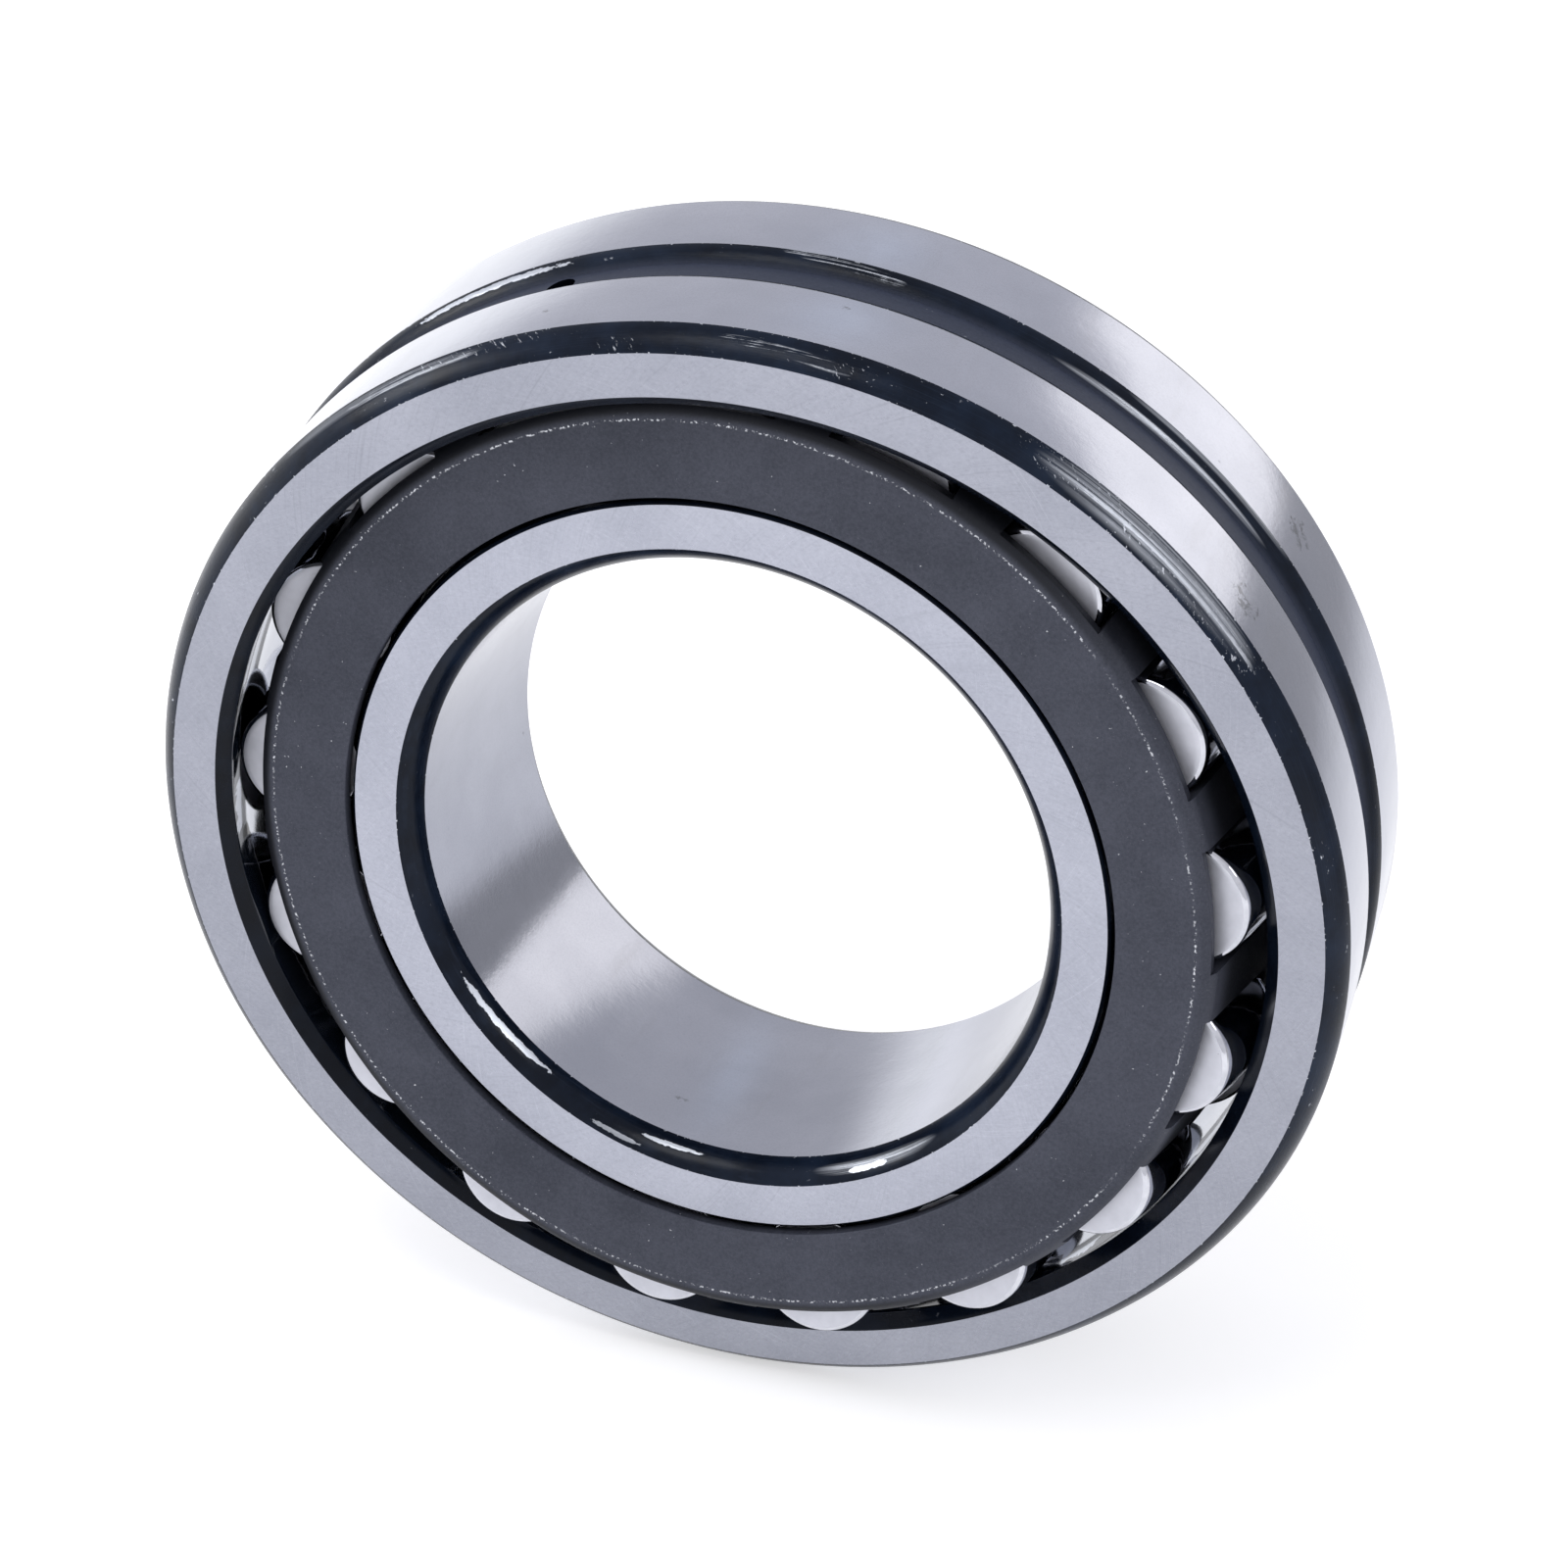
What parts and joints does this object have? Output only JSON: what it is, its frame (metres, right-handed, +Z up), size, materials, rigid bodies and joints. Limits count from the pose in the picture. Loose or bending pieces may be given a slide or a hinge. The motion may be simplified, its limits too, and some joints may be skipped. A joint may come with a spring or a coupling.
{
  "type": "spherical roller bearing",
  "caption": "Double row self-aligning roller bearing with outside lubrication groove, pressed steel cages and a cylindrical bore, its inner ring swivelled out of line.",
  "frame": {"origin": "centre of the common raceway sphere, which is the middle of the bearing on its axis", "axes": "+Y along the outer ring's axis towards the back face, +Z up; the bearing stands on its outside diameter at -Z and shows its front face towards -Y"},
  "size_m": [0.12, 0.043, 0.12],
  "materials": {
    "ground_steel": "ground and polished, chamfers and groove darker",
    "polished_steel": "polished",
    "dark_sheet": "dark matte, chemically blackened sheet steel",
    "grey_steel": "plain grey sintered iron"
  },
  "bodies": {
    "outer_ring": {"outer_ring": "ground_steel"},
    "guide_ring": {"guide_ring": "grey_steel"},
    "inner_ring": {"inner_ring": "ground_steel"},
    "cage_front": {"cage_front": "dark_sheet"},
    "cage_back": {"cage_back": "dark_sheet"},
    "roller_front_01": {"roller_front_01": "polished_steel"},
    "roller_front_02": {"roller_front_02": "polished_steel"},
    "roller_front_03": {"roller_front_03": "polished_steel"},
    "roller_front_04": {"roller_front_04": "polished_steel"},
    "roller_front_05": {"roller_front_05": "polished_steel"},
    "roller_front_06": {"roller_front_06": "polished_steel"},
    "roller_front_07": {"roller_front_07": "polished_steel"},
    "roller_front_08": {"roller_front_08": "polished_steel"},
    "roller_front_09": {"roller_front_09": "polished_steel"},
    "roller_front_10": {"roller_front_10": "polished_steel"},
    "roller_front_11": {"roller_front_11": "polished_steel"},
    "roller_front_12": {"roller_front_12": "polished_steel"},
    "roller_front_13": {"roller_front_13": "polished_steel"},
    "roller_front_14": {"roller_front_14": "polished_steel"},
    "roller_front_15": {"roller_front_15": "polished_steel"},
    "roller_front_16": {"roller_front_16": "polished_steel"},
    "roller_front_17": {"roller_front_17": "polished_steel"},
    "roller_back_01": {"roller_back_01": "polished_steel"},
    "roller_back_02": {"roller_back_02": "polished_steel"},
    "roller_back_03": {"roller_back_03": "polished_steel"},
    "roller_back_04": {"roller_back_04": "polished_steel"},
    "roller_back_05": {"roller_back_05": "polished_steel"},
    "roller_back_06": {"roller_back_06": "polished_steel"},
    "roller_back_07": {"roller_back_07": "polished_steel"},
    "roller_back_08": {"roller_back_08": "polished_steel"},
    "roller_back_09": {"roller_back_09": "polished_steel"},
    "roller_back_10": {"roller_back_10": "polished_steel"},
    "roller_back_11": {"roller_back_11": "polished_steel"},
    "roller_back_12": {"roller_back_12": "polished_steel"},
    "roller_back_13": {"roller_back_13": "polished_steel"},
    "roller_back_14": {"roller_back_14": "polished_steel"},
    "roller_back_15": {"roller_back_15": "polished_steel"},
    "roller_back_16": {"roller_back_16": "polished_steel"},
    "roller_back_17": {"roller_back_17": "polished_steel"}
  },
  "joints": [
    {"name": "swivel", "type": "hinge", "parent": "outer_ring", "child": "guide_ring", "pos_m": [0, 0, 0], "axis": [0.8051, 0, 0.5931], "range_deg": [0, 13.44]},
    {"name": "inner_ring_spin", "type": "hinge", "parent": "guide_ring", "child": "inner_ring", "pos_m": [0, 0, 0], "axis": [0.0694, 0.9931, -0.0942], "continuous": true},
    {"name": "cage_front_spin", "type": "hinge", "parent": "guide_ring", "child": "cage_front", "pos_m": [0, 0, 0], "axis": [0.0694, 0.9931, -0.0942], "continuous": true},
    {"name": "cage_back_spin", "type": "hinge", "parent": "guide_ring", "child": "cage_back", "pos_m": [0, 0, 0], "axis": [0.0694, 0.9931, -0.0942], "continuous": true},
    {"name": "roller_front_01_spin", "type": "hinge", "parent": "cage_front", "child": "roller_front_01", "pos_m": [0.04574, -0.01005, 0.00738], "axis": [0.2248, 0.9719, -0.0704], "continuous": true},
    {"name": "roller_front_02_spin", "type": "hinge", "parent": "cage_front", "child": "roller_front_02", "pos_m": [0.04031, -0.00813, 0.0236], "axis": [0.2065, 0.9783, -0.0157], "continuous": true},
    {"name": "roller_front_03_spin", "type": "hinge", "parent": "cage_front", "child": "roller_front_03", "pos_m": [0.02936, -0.00612, 0.03672], "axis": [0.1695, 0.9851, 0.0287], "continuous": true},
    {"name": "roller_front_04_spin", "type": "hinge", "parent": "cage_front", "child": "roller_front_04", "pos_m": [0.01438, -0.00429, 0.04497], "axis": [0.1189, 0.9913, 0.0566], "continuous": true},
    {"name": "roller_front_05_spin", "type": "hinge", "parent": "cage_front", "child": "roller_front_05", "pos_m": [-0.00261, -0.00289, 0.04725], "axis": [0.0614, 0.996, 0.0642], "continuous": true},
    {"name": "roller_front_06_spin", "type": "hinge", "parent": "cage_front", "child": "roller_front_06", "pos_m": [-0.01932, -0.0021, 0.04324], "axis": [0.005, 0.9987, 0.0507], "continuous": true},
    {"name": "roller_front_07_spin", "type": "hinge", "parent": "cage_front", "child": "roller_front_07", "pos_m": [-0.0335, -0.00203, 0.03349], "axis": [-0.0429, 0.9989, 0.0178], "continuous": true},
    {"name": "roller_front_08_spin", "type": "hinge", "parent": "cage_front", "child": "roller_front_08", "pos_m": [-0.04322, -0.0027, 0.01931], "axis": [-0.0757, 0.9967, -0.0301], "continuous": true},
    {"name": "roller_front_09_spin", "type": "hinge", "parent": "cage_front", "child": "roller_front_09", "pos_m": [-0.04717, -0.00401, 0.00262], "axis": [-0.0891, 0.9923, -0.0865], "continuous": true},
    {"name": "roller_front_10_spin", "type": "hinge", "parent": "cage_front", "child": "roller_front_10", "pos_m": [-0.04482, -0.00578, -0.01433], "axis": [-0.0812, 0.9863, -0.1438], "continuous": true},
    {"name": "roller_front_11_spin", "type": "hinge", "parent": "cage_front", "child": "roller_front_11", "pos_m": [-0.03649, -0.00777, -0.02925], "axis": [-0.053, 0.9795, -0.1942], "continuous": true},
    {"name": "roller_front_12_spin", "type": "hinge", "parent": "cage_front", "child": "roller_front_12", "pos_m": [-0.0233, -0.00973, -0.04013], "axis": [-0.0085, 0.9729, -0.2309], "continuous": true},
    {"name": "roller_front_13_spin", "type": "hinge", "parent": "cage_front", "child": "roller_front_13", "pos_m": [-0.00704, -0.01137, -0.04548], "axis": [0.0465, 0.9674, -0.2491], "continuous": true},
    {"name": "roller_front_14_spin", "type": "hinge", "parent": "cage_front", "child": "roller_front_14", "pos_m": [0.01011, -0.01249, -0.04461], "axis": [0.1044, 0.9636, -0.2461], "continuous": true},
    {"name": "roller_front_15_spin", "type": "hinge", "parent": "cage_front", "child": "roller_front_15", "pos_m": [0.02582, -0.01292, -0.03761], "axis": [0.1575, 0.9621, -0.2224], "continuous": true},
    {"name": "roller_front_16_spin", "type": "hinge", "parent": "cage_front", "child": "roller_front_16", "pos_m": [0.03797, -0.01261, -0.02543], "axis": [0.1986, 0.9632, -0.1813], "continuous": true},
    {"name": "roller_front_17_spin", "type": "hinge", "parent": "cage_front", "child": "roller_front_17", "pos_m": [0.04492, -0.01161, -0.00973], "axis": [0.222, 0.9666, -0.1283], "continuous": true},
    {"name": "roller_back_01_spin", "type": "hinge", "parent": "cage_back", "child": "roller_back_01", "pos_m": [0.04482, 0.00578, 0.01433], "axis": [-0.0812, 0.9863, -0.1438], "continuous": true},
    {"name": "roller_back_02_spin", "type": "hinge", "parent": "cage_back", "child": "roller_back_02", "pos_m": [0.03649, 0.00777, 0.02925], "axis": [-0.053, 0.9795, -0.1942], "continuous": true},
    {"name": "roller_back_03_spin", "type": "hinge", "parent": "cage_back", "child": "roller_back_03", "pos_m": [0.0233, 0.00973, 0.04013], "axis": [-0.0085, 0.9729, -0.2309], "continuous": true},
    {"name": "roller_back_04_spin", "type": "hinge", "parent": "cage_back", "child": "roller_back_04", "pos_m": [0.00704, 0.01137, 0.04548], "axis": [0.0465, 0.9674, -0.2491], "continuous": true},
    {"name": "roller_back_05_spin", "type": "hinge", "parent": "cage_back", "child": "roller_back_05", "pos_m": [-0.01011, 0.01249, 0.04461], "axis": [0.1044, 0.9636, -0.2461], "continuous": true},
    {"name": "roller_back_06_spin", "type": "hinge", "parent": "cage_back", "child": "roller_back_06", "pos_m": [-0.02582, 0.01292, 0.03761], "axis": [0.1575, 0.9621, -0.2224], "continuous": true},
    {"name": "roller_back_07_spin", "type": "hinge", "parent": "cage_back", "child": "roller_back_07", "pos_m": [-0.03797, 0.01261, 0.02543], "axis": [0.1986, 0.9632, -0.1813], "continuous": true},
    {"name": "roller_back_08_spin", "type": "hinge", "parent": "cage_back", "child": "roller_back_08", "pos_m": [-0.04492, 0.01161, 0.00973], "axis": [0.222, 0.9666, -0.1283], "continuous": true},
    {"name": "roller_back_09_spin", "type": "hinge", "parent": "cage_back", "child": "roller_back_09", "pos_m": [-0.04574, 0.01005, -0.00738], "axis": [0.2248, 0.9719, -0.0704], "continuous": true},
    {"name": "roller_back_10_spin", "type": "hinge", "parent": "cage_back", "child": "roller_back_10", "pos_m": [-0.04031, 0.00813, -0.0236], "axis": [0.2065, 0.9783, -0.0157], "continuous": true},
    {"name": "roller_back_11_spin", "type": "hinge", "parent": "cage_back", "child": "roller_back_11", "pos_m": [-0.02936, 0.00612, -0.03672], "axis": [0.1695, 0.9851, 0.0287], "continuous": true},
    {"name": "roller_back_12_spin", "type": "hinge", "parent": "cage_back", "child": "roller_back_12", "pos_m": [-0.01438, 0.00429, -0.04497], "axis": [0.1189, 0.9913, 0.0566], "continuous": true},
    {"name": "roller_back_13_spin", "type": "hinge", "parent": "cage_back", "child": "roller_back_13", "pos_m": [0.00261, 0.00289, -0.04725], "axis": [0.0614, 0.996, 0.0642], "continuous": true},
    {"name": "roller_back_14_spin", "type": "hinge", "parent": "cage_back", "child": "roller_back_14", "pos_m": [0.01932, 0.0021, -0.04324], "axis": [0.005, 0.9987, 0.0507], "continuous": true},
    {"name": "roller_back_15_spin", "type": "hinge", "parent": "cage_back", "child": "roller_back_15", "pos_m": [0.0335, 0.00203, -0.03349], "axis": [-0.0429, 0.9989, 0.0178], "continuous": true},
    {"name": "roller_back_16_spin", "type": "hinge", "parent": "cage_back", "child": "roller_back_16", "pos_m": [0.04322, 0.0027, -0.01931], "axis": [-0.0757, 0.9967, -0.0301], "continuous": true},
    {"name": "roller_back_17_spin", "type": "hinge", "parent": "cage_back", "child": "roller_back_17", "pos_m": [0.04717, 0.00401, -0.00262], "axis": [-0.0891, 0.9923, -0.0865], "continuous": true}
  ],
  "couplings": [
    {"joint": "cage_front_spin", "follows": "inner_ring_spin", "ratio": 0.42817},
    {"joint": "cage_back_spin", "follows": "inner_ring_spin", "ratio": 0.42817},
    {"joint": "roller_front_01_spin", "follows": "inner_ring_spin", "ratio": -3.4825},
    {"joint": "roller_front_02_spin", "follows": "inner_ring_spin", "ratio": -3.4825},
    {"joint": "roller_front_03_spin", "follows": "inner_ring_spin", "ratio": -3.4825},
    {"joint": "roller_front_04_spin", "follows": "inner_ring_spin", "ratio": -3.4825},
    {"joint": "roller_front_05_spin", "follows": "inner_ring_spin", "ratio": -3.4825},
    {"joint": "roller_front_06_spin", "follows": "inner_ring_spin", "ratio": -3.4825},
    {"joint": "roller_front_07_spin", "follows": "inner_ring_spin", "ratio": -3.4825},
    {"joint": "roller_front_08_spin", "follows": "inner_ring_spin", "ratio": -3.4825},
    {"joint": "roller_front_09_spin", "follows": "inner_ring_spin", "ratio": -3.4825},
    {"joint": "roller_front_10_spin", "follows": "inner_ring_spin", "ratio": -3.4825},
    {"joint": "roller_front_11_spin", "follows": "inner_ring_spin", "ratio": -3.4825},
    {"joint": "roller_front_12_spin", "follows": "inner_ring_spin", "ratio": -3.4825},
    {"joint": "roller_front_13_spin", "follows": "inner_ring_spin", "ratio": -3.4825},
    {"joint": "roller_front_14_spin", "follows": "inner_ring_spin", "ratio": -3.4825},
    {"joint": "roller_front_15_spin", "follows": "inner_ring_spin", "ratio": -3.4825},
    {"joint": "roller_front_16_spin", "follows": "inner_ring_spin", "ratio": -3.4825},
    {"joint": "roller_front_17_spin", "follows": "inner_ring_spin", "ratio": -3.4825},
    {"joint": "roller_back_01_spin", "follows": "inner_ring_spin", "ratio": -3.4825},
    {"joint": "roller_back_02_spin", "follows": "inner_ring_spin", "ratio": -3.4825},
    {"joint": "roller_back_03_spin", "follows": "inner_ring_spin", "ratio": -3.4825},
    {"joint": "roller_back_04_spin", "follows": "inner_ring_spin", "ratio": -3.4825},
    {"joint": "roller_back_05_spin", "follows": "inner_ring_spin", "ratio": -3.4825},
    {"joint": "roller_back_06_spin", "follows": "inner_ring_spin", "ratio": -3.4825},
    {"joint": "roller_back_07_spin", "follows": "inner_ring_spin", "ratio": -3.4825},
    {"joint": "roller_back_08_spin", "follows": "inner_ring_spin", "ratio": -3.4825},
    {"joint": "roller_back_09_spin", "follows": "inner_ring_spin", "ratio": -3.4825},
    {"joint": "roller_back_10_spin", "follows": "inner_ring_spin", "ratio": -3.4825},
    {"joint": "roller_back_11_spin", "follows": "inner_ring_spin", "ratio": -3.4825},
    {"joint": "roller_back_12_spin", "follows": "inner_ring_spin", "ratio": -3.4825},
    {"joint": "roller_back_13_spin", "follows": "inner_ring_spin", "ratio": -3.4825},
    {"joint": "roller_back_14_spin", "follows": "inner_ring_spin", "ratio": -3.4825},
    {"joint": "roller_back_15_spin", "follows": "inner_ring_spin", "ratio": -3.4825},
    {"joint": "roller_back_16_spin", "follows": "inner_ring_spin", "ratio": -3.4825},
    {"joint": "roller_back_17_spin", "follows": "inner_ring_spin", "ratio": -3.4825}
  ]
}
